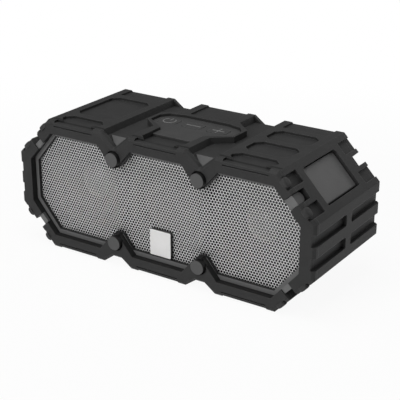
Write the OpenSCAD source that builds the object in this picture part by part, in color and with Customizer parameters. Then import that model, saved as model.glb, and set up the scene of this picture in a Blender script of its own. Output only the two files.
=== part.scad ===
// Rugged portable loudspeaker: a ribbed rubber jacket over a sealed shell, with three eight-sided lobes.
// +X is the right end, -Y the grille side, +Z up. The origin is under the middle of the base.

/* [Body] */
// Distance between the centres of neighbouring lobes
lobe_pitch = 58; // [58:0.5:62]
// Overall height over the ribs
body_h = 81; // [80:1:88]
// Depth from the bezel's front face to the back face
body_d = 77; // [74:1:86]
// Half the flat top of a lobe
lobe_top_half = 19.2; // [18.4:0.2:20.4]
// Reach from an outer lobe's centre to the end face
end_reach = 42.6; // [42:0.2:46]
// Half the height of the flat end face
end_side_half = 15.9; // [15.2:0.1:17]
// Depth of the notch between two lobes, at the back and under the front
notch_depth = 5; // [4:0.2:6]
// Half the flat floor of that notch
notch_floor_half = 2.9; // [2:0.1:3.4]
// Thickness of the rubber jacket
jacket_wall = 6; // [5.4:0.1:6.4]

/* [Front] */
// Thickness of the front bezel
bezel_t = 4.2; // [3.6:0.1:5]
// Bevel round the bezel and the rear cover
edge_bevel = 1.6; // [0.8:0.1:2]
// Bezel width above and below the window
rim_h = 8.2; // [7.8:0.1:9]
// Bezel width at the two ends
rim_end = 9; // [8.6:0.1:10]
// Flange of the grille frame that shows inside the bezel
flange_w = 2.6; // [1.8:0.1:3]
// Thickness of the grille frame
frame_t = 2; // [1.4:0.1:2.6]
// Thickness of the grille sheet
sheet_t = 0.8; // [0.5:0.1:1.2]
// Distance between holes of the grille
hole_pitch = 4.6; // [4.4:0.1:6]
// Diameter of a hole of the grille
hole_d = 3.4; // [2.4:0.1:3.8]
// Distance of the pins from the top and the base
pin_drop = 14.8; // [14.1:0.1:15.5]
// Diameter of a pin head
pin_head_d = 8.4; // [7:0.1:9.2]
// How far a pin head stands out of the bezel
pin_proud = 2; // [1:0.1:3]
// Width of the bare plate on the grille
badge_w = 14.2; // [10:0.1:20]
// Height of the bare plate on the grille
badge_h = 15.8; // [10:0.1:24]

/* [Ribs] */
// Depth of the pockets between the ribs of top and base
pocket_depth = 1.6; // [0.8:0.1:2]
// Width of the ribs along a lobe's corners
corner_rib_w = 5; // [4:0.1:6]
// Width of the ribs across a lobe
cross_rib_w = 4.8; // [3:0.1:6]
// Depth of the gaps between the ribs of an end face
end_gap_depth = 2.4; // [1:0.1:3]
// Depth of those gaps across the bezel
end_gap_front = 2.4; // [1.8:0.1:2.8]
// Half the middle rib of an end face
end_rib_half = 3.2; // [2:0.1:4]
// Height of each gap of an end face
end_gap_h = 6.9; // [5:0.1:7.5]
// Width of the notch in a sloping end
slope_notch_w = 6.5; // [5:0.1:7]
// Length of that notch from the front or back face
slope_notch_l = 11; // [9.6:0.1:12]
// Width of the lip beside that notch
slope_lip_w = 2.6; // [2:0.1:3]
// Height of the grille frame's lug in the notch beside the port cover, measured from the notch's floor
lug_h = 4.3; // [2:0.1:4.8]
// Height of the lugs in the other three front notches
low_lug_h = 1.6; // [1:0.1:2]
// Width of the pocket beside that lip
slope_pocket_w = 7.5; // [6:0.1:7.6]
// Length of that pocket from the front or back face
slope_pocket_l = 14.6; // [12:0.1:16]

/* [Controls] */
// Distance between neighbouring buttons
button_pitch = 17; // [16.4:0.1:17.2]
// How far the row of buttons lies off the middle of the body
button_shift = -2.1; // [-2.4:0.1:-1.8]
// Width of a button
button_w = 12.4; // [9:0.1:12.6]
// Depth of a button, front to back
button_l = 9; // [7:0.1:10]
// Travel of a button
button_travel = 0.6; // [0.3:0.1:0.7]
// Length of the port cover, along the body's depth
cover_l = 35.5; // [33:0.5:37]
// Width of the port cover, down the slope
cover_w = 23; // [22:0.5:24]
// Thickness of the port cover
cover_t = 2.2; // [2:0.1:2.4]
// How far the port cover lies below the ribs
cover_sunk = 1.9; // [1.4:0.1:2.1]

/* [Sound] */
// Room round a driver's flange inside the grille's window
flange_room = 1.2; // [0.9:0.1:1.8]
// Width of a driver's flange outside its cut-out
flange_ring = 3.9; // [3.7:0.1:4.1]
// Distance of a driver's cone from the edge of its flange
cone_inset = 8.1; // [7.7:0.1:9]
// Radius of the voice coil
coil_r = 9.6; // [8:0.1:10]
// Distance of the passive radiator's disc from the edge of its flange
disc_inset = 10.5; // [9.5:0.1:13]
// Room between grille and baffle for the moving parts
grille_gap = 7; // [6.4:0.1:9]
// Thickness of the baffle
baffle_t = 3.5; // [3:0.1:5]
// Wall of the inner shell
shell_wall = 2.4; // [1.8:0.1:2.6]

/* [Hidden] */
$fn = 48;
// Sliding fit between jacket and inner pieces, gap round moving pieces, and play of a pin in its hole
slip = 0.15;
run_gap = 0.3;
pin_play = 0.06;
// Cuts reach this far past the faces that they open
over = 2;

mid_z = body_h / 2;
half_h = body_h / 2;
front_y = -(body_d - pin_proud) / 2;
back_y = (body_d + pin_proud) / 2;
mid_y = (front_y + back_y) / 2;
rear_t = 3.5;
gasket_t = 0.8;
pin_sunk = 2;
pin_moat = 0.8;
pin_z = half_h - pin_drop;
pin_shank_r = 2;
bezel_back = front_y + bezel_t;
frame_back = bezel_back + frame_t;
sheet_back = frame_back + sheet_t;
baffle_front = sheet_back + grille_gap;
baffle_back = baffle_front + baffle_t;
shell_front = baffle_back + gasket_t;
jacket_back = back_y - rear_t;
rear_wall = 3.3;
panel_depth = 1.4;
shell_inside_back = jacket_back - rear_wall;

// Pockets of a lobe, front to back: three between cross ribs, and one open at the back
front_pocket_reach = 15;
pad_pocket_depth = 3.2;
front_pocket_l = front_pocket_reach - bezel_t;
open_pocket_l = 13.3;
open_pocket_depth = 1.3;
inner_pocket_l = (jacket_back + rear_t - open_pocket_l - bezel_back - front_pocket_l - 3 * cross_rib_w) / 2;
pocket_corner = 4;
open_corner = 0.5;
pocket_half = lobe_top_half - corner_rib_w;
end_post_w = 5.7;
end_gap_corner = 1.6;

// Valley between two lobes behind the bezel, the facet at its front, and the bezel's deeper notch
valley_depth = 4;
valley_draft = 1.2;
valley_half = lobe_pitch / 2 - lobe_top_half - valley_draft;
facet_l = 4.5;
facet_root = 3;
facet_half = valley_half - 0.3;
vee_half = 0.5;
vee_depth = 8;

// Control pad in its tray, seen from above, and its levels
pad_sunk = 1.6;
pad_t = 2.6;
pad_top = body_h - pad_sunk;
pad_floor = pad_top - pad_t;
pad_reach = 20.5;
pad_front = mid_y - pad_reach;
pad_back = mid_y + 13.8;
pad_neck_half = lobe_top_half - corner_rib_w + 0.3;
pad_neck_back = mid_y - 12.5;
pad_half = button_pitch - button_shift + button_w / 2 + 3;
pad_side_front = mid_y - 3;
pad_side_back = mid_y + 6.5;
// The two bends of the tray's rounded back corners, measured from its side and its back
pad_bend = [3.9, 2.4];
pad_bend_x = 13.3;
tray_rib = 3;
wing_rim = 1.6;
wing_front = mid_y - 12.6;
wing_side_front = mid_y - 4;
wing_side_back = mid_y + 9.4;
wing_back = mid_y + 19;
wing_root = 0.5;
button_y = mid_y + 3.2;
button_proud = 0.1;
button_corner = 2.2;
button_lip = 0.7;
key_room = 0.4;
key_window_l = button_l + 2 * (button_lip + key_room);
key_window_half = button_pitch + button_w / 2 + button_lip + key_room;
lip_top = pad_floor - run_gap;
lip_t = 0.8;
plunger_top = lip_top - lip_t - button_travel - run_gap / 2;
plunger_h = 0.5;
switch_h = 1.5;
switch_w = 6;
board_t = 1;
key_board_top = plunger_top - plunger_h - switch_h;
key_well_floor = key_board_top - board_t;

// Sloping ends: tilt and middle point of one slope
slope_dx = end_reach - lobe_top_half;
slope_dz = half_h - end_side_half;
slope_tilt = atan2(slope_dz, slope_dx);
slope_x = lobe_pitch + (lobe_top_half + end_reach) / 2;
slope_z = (half_h + end_side_half) / 2;
cover_gap = 0.5;
cover_corner = 2;
cover_top = -cover_sunk;
cover_floor = cover_top - cover_t - run_gap;
hinge_r = cover_t / 2;
hinge_pin_r = 0.6;
hinge_x = cover_w / 2 - hinge_r;
hinge_z = cover_top - hinge_r;
hinge_ear = 2;
usb_w = 5.8;
usb_l = 13.4;
charge_w = 3;
charge_l = 7.8;
audio_r = 1.8;
audio_nose_r = 2.6;
audio_case_w = 7;
audio_case_l = 4.8;
audio_case_drop = 4;
socket_wall = 0.5;
socket_sunk = 0.2;
// The sockets stand in a row along the port, with a gap between them and a margin at its edges
socket_gap = 1.2;
port_margin = 1.2;
port_l = usb_l + charge_l + 2 * audio_nose_r + 2 * socket_gap + 2 * port_margin;
port_w = 12;
port_shift = -2;
usb_y = -port_l / 2 + port_margin + usb_l / 2;
charge_y = usb_y + usb_l / 2 + socket_gap + charge_l / 2;
audio_y = charge_y + charge_l / 2 + socket_gap + audio_nose_r;
port_panel_top = cover_floor - run_gap;
socket_post_h = 7;
socket_post_r = 1.8;
socket_post_x = port_w / 2 + 2.4;
socket_board_top = -jacket_wall - slip - shell_wall - socket_post_h;
socket_board_t = 1.2;
socket_h = port_panel_top - socket_sunk - socket_board_top;

// Lugs of the grille frame in the front notches of the slopes
lug_recess = 2.8;
lug_sunk = 0.8;
lug_l = 9;
lug_inner = 7.7;
lug_root = 9;
lug_half = slope_notch_w / 2 - 0.2;
tongue_gap = 0.9;
tongue_drop = 0.8;

// Windows of the bezel and of the grille frame in each lobe, and the sheet's lap behind the frame
rim_top_half = lobe_top_half - 1.9;
rim_side = end_side_half - 2.6;
rim_tip_half = 1.5;
end_flange_w = 2.2;
win_h = half_h - rim_h - flange_w;
win_top = rim_top_half - 0.5;
win_reach = end_reach - rim_end - end_flange_w;
win_side = rim_side - 1.3;
win_tip_half = 2.7;
win_tip_h = win_h - 8.5;
win_near = rim_top_half + 2.2;
sheet_lap = 1.6;

// Drivers: levels along Y and radii
flange_apart = 1;
driver_flange_r = min(win_h - flange_room, lobe_pitch / 2 - flange_apart / 2);
driver_r = driver_flange_r - flange_ring;
cone_r = driver_flange_r - cone_inset;
disc_r = driver_flange_r - disc_inset;
flange_t = 1.5;
flange_front = baffle_front - flange_t;
roll_inner_gap = 0.1;
basket_lip_r = driver_flange_r - 5;
basket_wall = 1.4;
basket_window_w = 8;
basket_back = baffle_front + 15;
plate_t = 4;
magnet_t = 7;
motor_r = 17;
coil_gap = 0.9;
coil_wall = 0.4;
cone_wall = 0.7;
cap_lap = 1.2;
cap_gap = 0.1;
cone_front = baffle_front + 0.6;
cone_neck = cone_front + 8.5;
coil_back = basket_back + plate_t + 1;
roll_wall = 0.5;
disc_t = 2;
disc_dish = 0.6;
disc_rim = 2;
weight_r = 11;
weight_t = 4;
screw_r = 1.2;
screw_head_r = 2.3;
screw_head_t = 1.3;
screw_ring_r = driver_flange_r - 2.2;
shell_screw_r = 1.5;

// Battery and boards inside the shell, between the lower and the upper screw bosses of the rear wall
rear_screw_z = half_h - jacket_wall - 6.4;
rear_screw_l = 9;
rear_boss_r = 3.4;
rear_boss_l = 6;
rear_hole_l = 5;
cradle_t = 2.4;
cradle_gap = 0.1;
cradle_inset = 6;
cradle_open = 2;
cell_r = 9.2;
cell_l = 65;
cell_z = mid_z - rear_screw_z + rear_boss_r + cradle_gap + cradle_t + cell_r;
cell_y = shell_inside_back - cell_r - 3;
board_room = 0.6;
main_board_w = 84;
main_board_low = cell_z + cell_r + board_room;
main_board_high = mid_z + rear_screw_z - rear_boss_r - board_room;
main_board_h = main_board_high - main_board_low;
main_board_z = (main_board_high + main_board_low) / 2;
board_post_inset = 4;
chip_t = 1.2;
chip_sunk = 0.2;
// Chips on the main board: across, up and width
chips = [[-22, 3, 12], [2, -2, 9], [20, 4, 7]];
cell_gap = 0.4;
post_h = 4;
post_r = 3;
main_board_back = shell_inside_back - post_h;
main_board_t = 1.6;

rubber = [0.07, 0.07, 0.072];
hard_plastic = [0.16, 0.16, 0.165];
silver = [0.62, 0.62, 0.63];
dark_steel = [0.28, 0.28, 0.29];
board_green = [0.05, 0.26, 0.14];

// Outlines in the X-Z plane, about mid-height

// Three lobes side by side, counter-clockwise: height, flat top, end, flat side, the notch between lobes,
// and where they are different, the notch under them and the flat top's corners beside the notches
function lobed(h, top, reach, side, gap_half, gap_h, low = [0, 0], inner = 0) = let (
    base_half = low[1] > 0 ? low[0] : gap_half,
    base_h = low[1] > 0 ? low[1] : gap_h,
    near = inner > 0 ? inner : top) concat(
  [for (i = [-1:1]) each concat(
    [[i * lobe_pitch - (i > -1 ? near : top), -h], [i * lobe_pitch + (i < 1 ? near : top), -h]],
    i < 1 ? [for (s = [-1, 1]) [(i + 0.5) * lobe_pitch + s * base_half, -base_h]] : [])],
  [[lobe_pitch + reach, -side], [lobe_pitch + reach, side]],
  [for (i = [1:-1:-1]) each concat(
    [[i * lobe_pitch + (i < 1 ? near : top), h], [i * lobe_pitch - (i > -1 ? near : top), h]],
    i > -1 ? [[(i - 0.5) * lobe_pitch + gap_half, gap_h], [(i - 0.5) * lobe_pitch - gap_half, gap_h]] : [])],
  [[-lobe_pitch - reach, side], [-lobe_pitch - reach, -side]]);

function unit(v) = v / norm(v);
function inward(a, b) = let (d = unit(b - a)) [-d[1], d[0]];

// The same outline moved in by d on every side
function inset(points, d) = let (n = len(points)) [for (i = [0:n - 1])
  let (
    before = inward(points[(i + n - 1) % n], points[i]),
    after = inward(points[i], points[(i + 1) % n]))
  points[i] + d * (before + after) / (1 + before * after)];

// Height of a lobe's slanted side at a distance x from the lobe's centre
function slant_z(h, top, reach, side, x) = h - (x - top) * (h - side) / (reach - top);

function window(h, top, reach, side, gap_half) =
  lobed(h, top, reach, side, gap_half, slant_z(h, top, reach, side, lobe_pitch / 2 - gap_half));

outer = lobed(half_h, lobe_top_half, end_reach, end_side_half, notch_floor_half, half_h - notch_depth);
skin = lobed(half_h, lobe_top_half, end_reach, end_side_half, valley_half, half_h - valley_depth);
vee_outer = lobed(half_h, lobe_top_half, end_reach, end_side_half, vee_half, half_h - vee_depth,
  [notch_floor_half, half_h - notch_depth]);
cavity = inset(outer, jacket_wall);
inner_fit = inset(outer, jacket_wall + slip);

rim_window = window(half_h - rim_h, rim_top_half, end_reach - rim_end, rim_side, rim_tip_half);
frame_window = lobed(win_h, win_top, win_reach, win_side, win_tip_half, win_tip_h, [0, 0], win_near);
sheet_edge = inset(frame_window, -sheet_lap);

// Whether a hole at x, z lies inside the frame's window with a margin m
function in_window(x, z, m) = let (
    lobe = max(-1, min(1, round(x / lobe_pitch))),
    dx = abs(x - lobe * lobe_pitch),
    slant = unit([win_h - win_side, win_reach - win_top]))
  abs(z) < win_h - m && dx < win_reach - m
    && [dx - win_top, abs(z) - win_h] * slant < -m;

// Helpers

// Extrude an X-Z outline between two levels along Y
module between(y0, y1) {
  translate([0, y1, mid_z]) rotate([90, 0, 0]) linear_extrude(y1 - y0) children();
}

// Triangles that close one end of such a solid: strips between each lower point and the one above it
function cap(n, first, front) = [for (i = [-1:n / 2 - 3]) each let (
    a = first + (i + n) % n,
    b = first + i + 1,
    c = first + n - 4 - i,
    d = first + n - 3 - i)
  front ? [[a, d, c], [a, c, b]] : [[a, b, c], [a, c, d]]];

// Solid between two lobed outlines of equal count, from level y0 to y1
module loft(a, y0, b, y1) {
  n = len(a);
  polyhedron(
    points = concat([for (p = a) [p[0], y0, p[1] + mid_z]], [for (p = b) [p[0], y1, p[1] + mid_z]]),
    faces = concat(
      cap(n, 0, true),
      cap(n, n, false),
      [for (i = [0:n - 1]) [i, (i + 1) % n, n + (i + 1) % n]],
      [for (i = [0:n - 1]) [i, n + (i + 1) % n, n + i]]));
}

// Turn a profile of radius and Y level about a lobe's axis
module turned(x) {
  translate([x, 0, mid_z]) rotate([-90, 0, 0]) rotate_extrude($fn = 72) children();
}

module rounded_rect(w, l, r) {
  square([w - 2 * r, l], center = true);
  square([w, l - 2 * r], center = true);
  for (sx = [-1, 1], sy = [-1, 1])
    translate([sx * (w / 2 - r), sy * (l / 2 - r)]) circle(r);
}

// Round bar along Y at x, z from level y0 to y1
module bar(x, z, r, y0, y1) {
  translate([x, y0, z]) rotate([-90, 0, 0]) cylinder(r = r, h = y1 - y0);
}

// Frame on the middle of a sloping end: x runs down the slope, y along the depth, z out of the surface
module on_slope(sx = 1, sz = 1) {
  translate([0, 0, mid_z]) mirror([sx < 0 ? 1 : 0, 0, 0]) mirror([0, 0, sz < 0 ? 1 : 0])
    translate([slope_x, mid_y, slope_z]) rotate([0, slope_tilt, 0]) children();
}

module slope_box(x0, x1, y0, y1, z0, z1) {
  translate([x0, y0 - mid_y, z0]) cube([x1 - x0, y1 - y0, z1 - z0]);
}

// Pockets and notches in the outer skin, shared by the bezel, the jacket and the rear cover

module pocket_2d(half, l, corner) {
  polygon([[-half + corner, 0], [half - corner, 0], [half, corner], [half, l - corner], [half - corner, l],
    [-half + corner, l], [-half, l - corner], [-half, corner]]);
}

// One pocket of a lobe's top (side = 1) or base (side = -1), from level y0 over length l
module lobe_pocket(lobe, side, y0, l, depth, corner = pocket_corner) {
  translate([lobe * lobe_pitch, y0, mid_z]) mirror([0, 0, side < 0 ? 1 : 0])
    translate([0, 0, half_h - depth]) linear_extrude(depth + over) pocket_2d(pocket_half, l, corner);
}

module lobe_pockets(lobe, side, count) {
  first = bezel_back + front_pocket_l + cross_rib_w;
  lobe_pocket(lobe, side, bezel_back, front_pocket_l, pocket_depth);
  if (count == 2)
    for (k = [0, 1])
      lobe_pocket(lobe, side, first + k * (inner_pocket_l + cross_rib_w), inner_pocket_l, pocket_depth);
  if (count == 1)
    lobe_pocket(lobe, side, first, 2 * inner_pocket_l + cross_rib_w, pocket_depth);
  lobe_pocket(lobe, side, back_y - open_pocket_l, open_pocket_l + over, open_pocket_depth, open_corner);
}

// Gaps between the ribs of both end faces, from level y0 to y1
module end_gap_row(y0, y1, depth) {
  for (sx = [-1, 1], sz = [-1, 1])
    translate([sx * (lobe_pitch + end_reach + (over - depth) / 2), (y0 + y1) / 2,
        mid_z + sz * (end_rib_half + end_gap_h / 2)])
      rotate([0, 90, 0]) linear_extrude(depth + over, center = true)
        rounded_rect(end_gap_h, y1 - y0, end_gap_corner);
}

// Full gaps behind the bezel on both sides of the middle post, and shallower ones across the bezel
module end_gaps() {
  end_gap_row(bezel_back, mid_y - end_post_w / 2, end_gap_depth);
  end_gap_row(mid_y + end_post_w / 2, back_y + 2 * over, end_gap_depth);
  end_gap_row(front_y - 2 * over, bezel_back + over, end_gap_front);
}

module slope_cuts() {
  lip_end = slope_notch_w / 2 + slope_lip_w;
  for (sx = [-1, 1], sz = [-1, 1]) on_slope(sx, sz) {
    for (part = [0, 1]) {
      notch_y0 = part == 0 ? front_y - over : back_y - slope_notch_l;
      notch_y1 = part == 0 ? front_y + slope_notch_l : back_y + over;
      slope_box(-slope_notch_w / 2, slope_notch_w / 2, notch_y0, notch_y1, -jacket_wall, over);
      pocket_y0 = part == 0 ? front_y - over : back_y - slope_pocket_l;
      pocket_y1 = part == 0 ? front_y + slope_pocket_l : back_y + over;
      for (s = [-1, 1])
        slope_box(s > 0 ? lip_end : -lip_end - slope_pocket_w, s > 0 ? lip_end + slope_pocket_w : -lip_end,
          pocket_y0, pocket_y1, -cover_sunk, over);
    }
  }
}

// Shallow panels on the three slopes that have no ports
module slope_panels() {
  for (s = [[-1, 1], [-1, -1], [1, -1]]) on_slope(s[0], s[1])
    translate([0, 0, -cover_sunk]) linear_extrude(cover_sunk + over)
      rounded_rect(cover_w, cover_l, cover_corner);
}

module skin_cuts() {
  end_gaps();
  slope_cuts();
  for (side = [-1, 1], lobe = [-1:1])
    if (!(side > 0 && lobe == 0)) lobe_pockets(lobe, side, side > 0 && lobe < 0 ? 1 : 2);
  // The middle lobe's top has a deeper pocket up to the pad, and an open one behind the tray
  lobe_pocket(0, 1, bezel_back, pad_front - bezel_back + pocket_corner, pad_pocket_depth);
  lobe_pocket(0, 1, pad_back + tray_rib, back_y - pad_back - tray_rib + over, open_pocket_depth, open_corner);
}

// Facet at the front of a valley's floor: it leads down to the bezel's deeper notch
module valley_facets() {
  rise = vee_depth - valley_depth;
  run = norm([rise, facet_l]);
  for (sx = [-1, 1])
    translate([sx * lobe_pitch / 2, bezel_back, body_h]) intersection() {
      translate([0, facet_l, 0]) rotate([90, 0, 0]) linear_extrude(facet_l + over)
        polygon([[-facet_root, -vee_depth], [facet_root, -vee_depth], [facet_half, -valley_depth],
          [facet_half, 0], [-facet_half, 0], [-facet_half, -valley_depth]]);
      translate([-lobe_pitch / 2, 0, -vee_depth]) rotate([atan2(rise, facet_l), 0, 0])
        translate([0, -run, 0]) cube([lobe_pitch, 3 * run, run]);
    }
}

// Outer pieces

// Outlines seen from above, counter-clockwise: a right half and its mirror image
function both_sides(half) = concat(half, [for (i = [len(half) - 1:-1:0]) [-half[i][0], half[i][1]]]);

tray = both_sides([[pad_neck_half, pad_front], [pad_neck_half, pad_neck_back], [pad_half, pad_side_front],
  [pad_half, pad_side_back], [pad_half - pad_bend[0], pad_back - pad_bend[1]],
  [pad_half - pad_bend_x, pad_back]]);

// Wings that carry the tray across both valleys
module tray_wings() {
  low = body_h - valley_depth - wing_root;
  side = pad_half + wing_rim;
  for (s = [0, 1]) mirror([s, 0, 0]) translate([0, 0, low]) linear_extrude(body_h - low)
    polygon([[pocket_half, wing_front], [lobe_top_half, wing_front], [side, wing_side_front],
      [side, wing_side_back], [lobe_top_half, wing_back], [pocket_half, wing_back]]);
}

module key_window(z0, z1) {
  translate([button_shift - key_window_half, button_y - key_window_l / 2, z0])
    cube([2 * key_window_half, key_window_l, z1 - z0]);
}

module jacket() {
  color(rubber) difference() {
    union() {
      difference() {
        between(bezel_back, jacket_back) difference() {
          polygon(skin);
          polygon(cavity);
        }
        skin_cuts();
        slope_panels();
        valley_facets();
      }
      tray_wings();
    }
    translate([0, 0, pad_floor]) linear_extrude(body_h) polygon(tray);
    key_window(mid_z, body_h);
    on_slope() {
      translate([0, 0, cover_floor]) linear_extrude(cover_sunk + jacket_wall) {
        rounded_rect(cover_w + 2 * cover_gap, cover_l + 2 * cover_gap, cover_corner + cover_gap);
        // Square corners beside the hinge, which the cover's ends swing through
        translate([hinge_x, 0]) square([2 * (hinge_r + cover_gap), cover_l + 2 * cover_gap], center = true);
      }
      translate([port_shift, 0, -jacket_wall - over]) linear_extrude(jacket_wall + over)
        square([port_w + 2 * slip, port_l + 2 * slip], center = true);
      // Blind holes for the ends of the hinge pin
      translate([hinge_x, 0, hinge_z]) rotate([90, 0, 0])
        cylinder(r = hinge_pin_r + pin_play, h = cover_l + 2 * cover_gap + 2 * hinge_ear, center = true);
    }
  }
}

// Cuts of the bezel at its four slopes: the notch, the recess of a lug, the top of each tongue beside them,
// and the gap at the tongue's free end
module bezel_slope_cuts() {
  lip_end = slope_notch_w / 2 + slope_lip_w;
  tongue_r = bezel_t / 2;
  for (sx = [-1, 1], sz = [-1, 1]) on_slope(sx, sz) {
    slope_box(-slope_notch_w / 2, slope_notch_w / 2, front_y - over, bezel_back + over, -jacket_wall, over);
    slope_box(-slope_notch_w / 2, slope_notch_w / 2, front_y - over, front_y + lug_recess, -lug_root, over);
    for (tongue = [-lip_end - slope_pocket_w, lip_end])
      slope_box(tongue, tongue + slope_pocket_w, front_y - over, bezel_back + over, -tongue_drop, over);
    for (free_end = [-lip_end, lip_end + slope_pocket_w]) difference() {
      round_x = free_end - tongue_gap - tongue_r;
      slope_box(round_x, free_end, front_y - over, bezel_back + over, -cover_sunk, over);
      translate([round_x, front_y + tongue_r - mid_y, -cover_sunk - over])
        cylinder(r = tongue_r, h = cover_sunk + 3 * over);
    }
  }
}

module front_bezel() {
  strip_half = pocket_half;
  groove_w = 0.7;
  strip_drop = 1.2;
  color(rubber) difference() {
    union() {
      loft(inset(vee_outer, edge_bevel), front_y, vee_outer, front_y + edge_bevel);
      between(front_y + edge_bevel, bezel_back) polygon(vee_outer);
    }
    between(front_y - over, bezel_back + over) polygon(rim_window);
    end_gaps();
    bezel_slope_cuts();
    // Front strip set back between the corner ribs, and the crease under it
    for (lobe = [-1:1], side = [-1, 1])
      translate([lobe * lobe_pitch, front_y - over, mid_z]) mirror([0, 0, side < 0 ? 1 : 0]) {
        translate([-strip_half, 0, half_h - strip_drop])
          cube([2 * strip_half, bezel_t + 2 * over, over]);
        translate([-strip_half, 0, half_h - edge_bevel - strip_drop - groove_w])
          cube([2 * strip_half, over + groove_w, groove_w]);
      }
    pins_at() {
      bar(0, 0, pin_head_d / 2 + pin_moat, front_y - over, front_y + pin_sunk);
      bar(0, 0, pin_shank_r + slip, front_y, bezel_back + over);
    }
  }
}

module pins_at() {
  for (sx = [-1, 1], sz = [-1, 1])
    translate([sx * lobe_pitch / 2, 0, mid_z + sz * pin_z]) children();
}

module bezel_pins() {
  color(hard_plastic) pins_at() {
    bar(0, 0, pin_head_d / 2, front_y - pin_proud, front_y + pin_sunk);
    bar(0, 0, pin_shank_r, front_y + pin_sunk, baffle_front);
  }
}

// Lug of the grille frame in a front notch: a plate in the bezel's recess, a round-ended block and its root
module frame_lugs() {
  low = slip - jacket_wall;
  front = front_y + lug_sunk;
  for (sx = [-1, 1], sz = [-1, 1]) on_slope(sx, sz) {
    high = (sx > 0 && sz > 0 ? lug_h : low_lug_h) - jacket_wall;
    slope_box(-lug_half, lug_half, front, front_y + lug_recess - slip, -lug_inner, high);
    slope_box(-lug_half, lug_half, front, front_y + lug_l - lug_half, low, high);
    translate([0, front_y + lug_l - lug_half - mid_y, low]) cylinder(r = lug_half, h = high - low);
    slope_box(-lug_half, lug_half, bezel_back, frame_back, -lug_root, low + slip);
  }
}

module grille_frame() {
  color(hard_plastic) difference() {
    union() {
      between(bezel_back, frame_back) difference() {
        polygon(inner_fit);
        polygon(frame_window);
      }
      frame_lugs();
    }
    pins_at() bar(0, 0, pin_shank_r + pin_play, bezel_back - over, frame_back + over);
  }
}

module grille() {
  row_h = hole_pitch * sqrt(3) / 2;
  rows = floor(win_h / row_h);
  cols = floor((lobe_pitch + win_reach) / hole_pitch);
  color(silver) between(frame_back, sheet_back) difference() {
    polygon(sheet_edge);
    for (row = [-rows:rows], col = [-cols:cols]) {
      x = (col + (row % 2 == 0 ? 0 : 0.5)) * hole_pitch;
      z = row * row_h;
      if (in_window(x, z, hole_d / 2 + 0.4)) translate([x, z]) circle(d = hole_d, $fn = 24);
    }
  }
}

module badge_plate() {
  badge_margin = 0.9;
  badge_corner = 0.6;
  color("white") translate([0, frame_back, mid_z - win_h + badge_margin + badge_h / 2])
    rotate([90, 0, 0]) linear_extrude(frame_t) rounded_rect(badge_w, badge_h, badge_corner);
}

// Rear cover, with a shallow eight-sided panel behind each lobe

module rear_screws_at() {
  for (lobe = [-1:1], sz = [-1, 1])
    translate([lobe * lobe_pitch, 0, mid_z + sz * rear_screw_z]) children();
}

module rear_cover() {
  panel = lobed(half_h - rim_h, rim_top_half, end_reach - rim_end, rim_side, notch_floor_half,
    half_h - rim_h - notch_depth);
  color(rubber) difference() {
    union() {
      between(jacket_back, back_y - edge_bevel) polygon(outer);
      loft(outer, back_y - edge_bevel, inset(outer, edge_bevel), back_y);
    }
    skin_cuts();
    between(back_y - panel_depth, back_y + over) polygon(panel);
    rear_screws_at() {
      bar(0, 0, screw_head_r + run_gap, back_y - panel_depth - screw_head_t, back_y + over);
      bar(0, 0, shell_screw_r + pin_play, jacket_back - over, back_y);
    }
  }
}

module rear_screws() {
  head_seat = back_y - panel_depth - screw_head_t;
  color(dark_steel) rear_screws_at() difference() {
    union() {
      bar(0, 0, screw_head_r, head_seat, head_seat + screw_head_t);
      bar(0, 0, shell_screw_r, head_seat - rear_screw_l, head_seat);
    }
    for (turn = [0, 90]) translate([0, head_seat + screw_head_t, 0]) rotate([0, turn, 0])
      cube([2.4, 1.2, 0.6], center = true);
  }
}

// Inner shell, baffle and seal

module inner_shell() {
  inside = inset(outer, jacket_wall + slip + shell_wall);
  color(hard_plastic) difference() {
    between(shell_front, jacket_back) polygon(inner_fit);
    difference() {
      between(shell_front - over, shell_inside_back) polygon(inside);
      // Rim of the key well
      translate([button_shift, button_y, key_well_floor - shell_wall]) linear_extrude(body_h)
        square([2 * (key_window_half + shell_wall), key_window_l + 2 * shell_wall], center = true);
      // Screw bosses of the rear wall, posts of the main board and of the socket board
      rear_screws_at() bar(0, 0, rear_boss_r, shell_inside_back - rear_boss_l, jacket_back);
      board_posts_at() bar(0, 0, post_r, main_board_back, jacket_back);
      on_slope() socket_posts_at()
        translate([0, 0, socket_board_top]) cylinder(r = socket_post_r, h = socket_post_h + shell_wall);
    }
    rear_screws_at() bar(0, 0, shell_screw_r + pin_play, shell_inside_back - rear_hole_l, jacket_back + over);
    board_posts_at() bar(0, 0, screw_r + pin_play, main_board_back - over, main_board_back + post_h);
    key_window(key_well_floor, body_h);
    on_slope() translate([port_shift, 0, -jacket_wall - slip - shell_wall - over])
      linear_extrude(shell_wall + 2 * over)
        square([port_w - port_margin, port_l - port_margin], center = true);
  }
}

module baffle() {
  color(hard_plastic) difference() {
    between(frame_back, baffle_back) polygon(inner_fit);
    between(frame_back - over, baffle_front) polygon(inset(frame_window, -0.6));
    between(frame_back - over, sheet_back) polygon(inset(sheet_edge, -slip));
    for (lobe = [-1:1]) {
      bar(lobe * lobe_pitch, mid_z, driver_r, baffle_front - over, baffle_back + over);
      driver_screws_at(lobe) bar(0, 0, screw_r + pin_play, baffle_front - over, baffle_back + over);
    }
    pins_at() bar(0, 0, pin_shank_r + pin_play, frame_back - over, baffle_back + over);
  }
}

module baffle_gasket() {
  color([0.1, 0.1, 0.1]) between(baffle_back, shell_front) difference() {
    polygon(inner_fit);
    polygon(inset(outer, jacket_wall + slip + shell_wall));
  }
}

// Drivers, left and right, and the passive radiator between them

module driver_screws_at(lobe) {
  for (turn = [45:90:315])
    translate([lobe * lobe_pitch + screw_ring_r * cos(turn), 0, mid_z + screw_ring_r * sin(turn)]) children();
}

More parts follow.
